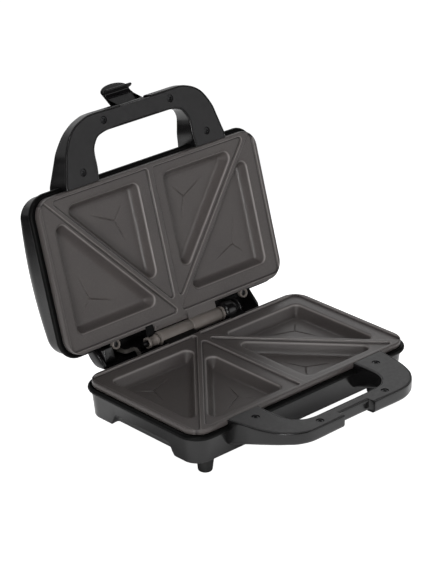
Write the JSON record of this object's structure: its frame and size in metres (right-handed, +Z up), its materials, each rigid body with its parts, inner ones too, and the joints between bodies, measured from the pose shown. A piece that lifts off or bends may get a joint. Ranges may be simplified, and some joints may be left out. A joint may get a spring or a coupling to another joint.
{
  "type": "sandwich toaster",
  "caption": "Sandwich toaster with two hinged ribbed cooking plates, looped handles and a swinging latch, standing open on short round feet.",
  "frame": {"origin": "middle of the bottom of the open object's bounding box, on the surface it stands on", "axes": "+Z up, +X to the right seen from the handles' side, -Y towards the handles, +Y towards the hinge"},
  "size_m": [0.2464, 0.288, 0.2386],
  "materials": {
    "black_plastic": "satin black moulding",
    "dark_grey_plastic": "fine-grained dark grey moulding",
    "non_stick_coating": "die cast with a dark non-stick coating",
    "zinc_plated_steel": "zinc plated",
    "blackened_steel": "blackened",
    "heater_steel": "annealed dull",
    "reflector_aluminium": "bright pressed sheet",
    "ceramic": "unglazed",
    "foot_rubber": "matte",
    "terminal_plastic": "plain",
    "glass_fibre_sleeve": "woven",
    "red_lens": "translucent",
    "green_lens": "translucent"
  },
  "bodies": {
    "base": {"base_housing": "black_plastic", "base_lead_sleeve": "glass_fibre_sleeve", "cord_inlet": "dark_grey_plastic", "foot_front_left": "foot_rubber", "foot_front_right": "foot_rubber", "foot_rear_left": "foot_rubber", "foot_rear_right": "foot_rubber", "hinge_pin": "zinc_plated_steel", "lower_cooking_plate": "non_stick_coating", "lower_handle_cover": "dark_grey_plastic", "lower_handle_screw_1": "blackened_steel", "lower_handle_screw_2": "blackened_steel", "lower_handle_screw_3": "blackened_steel", "lower_handle_screw_4": "blackened_steel", "lower_handle_shell": "black_plastic", "lower_heater_saddle_left": "ceramic", "lower_heater_saddle_right": "ceramic", "lower_heating_element": "heater_steel", "lower_reflector": "reflector_aluminium", "lower_thermal_fuse": "ceramic", "terminal_block": "terminal_plastic", "thermostat": "zinc_plated_steel"},
    "lid": {"indicator_lamp_green": "ceramic", "indicator_lamp_red": "ceramic", "indicator_lens_green": "green_lens", "indicator_lens_red": "red_lens", "latch_pin": "zinc_plated_steel", "lid_housing": "black_plastic", "lid_lead_sleeve": "glass_fibre_sleeve", "upper_cooking_plate": "non_stick_coating", "upper_handle_cover": "dark_grey_plastic", "upper_handle_screw_1": "blackened_steel", "upper_handle_screw_2": "blackened_steel", "upper_handle_screw_3": "blackened_steel", "upper_handle_screw_4": "blackened_steel", "upper_handle_shell": "black_plastic", "upper_heater_saddle_left": "ceramic", "upper_heater_saddle_right": "ceramic", "upper_heating_element": "heater_steel", "upper_plate_screw_left": "zinc_plated_steel", "upper_plate_screw_right": "zinc_plated_steel", "upper_reflector": "reflector_aluminium", "upper_thermal_fuse": "ceramic"},
    "latch": {"latch": "black_plastic"}
  },
  "joints": [
    {"name": "lid_hinge", "type": "hinge", "parent": "base", "child": "lid", "pos_m": [0, 0.0549, 0.0468], "axis": [1, 0, 0], "range_deg": [0, 107]},
    {"name": "latch_hinge", "type": "hinge", "parent": "lid", "child": "latch", "pos_m": [0, 0.11693, 0.22746], "axis": [1, 0, 0], "range_deg": [0, 131]}
  ]
}
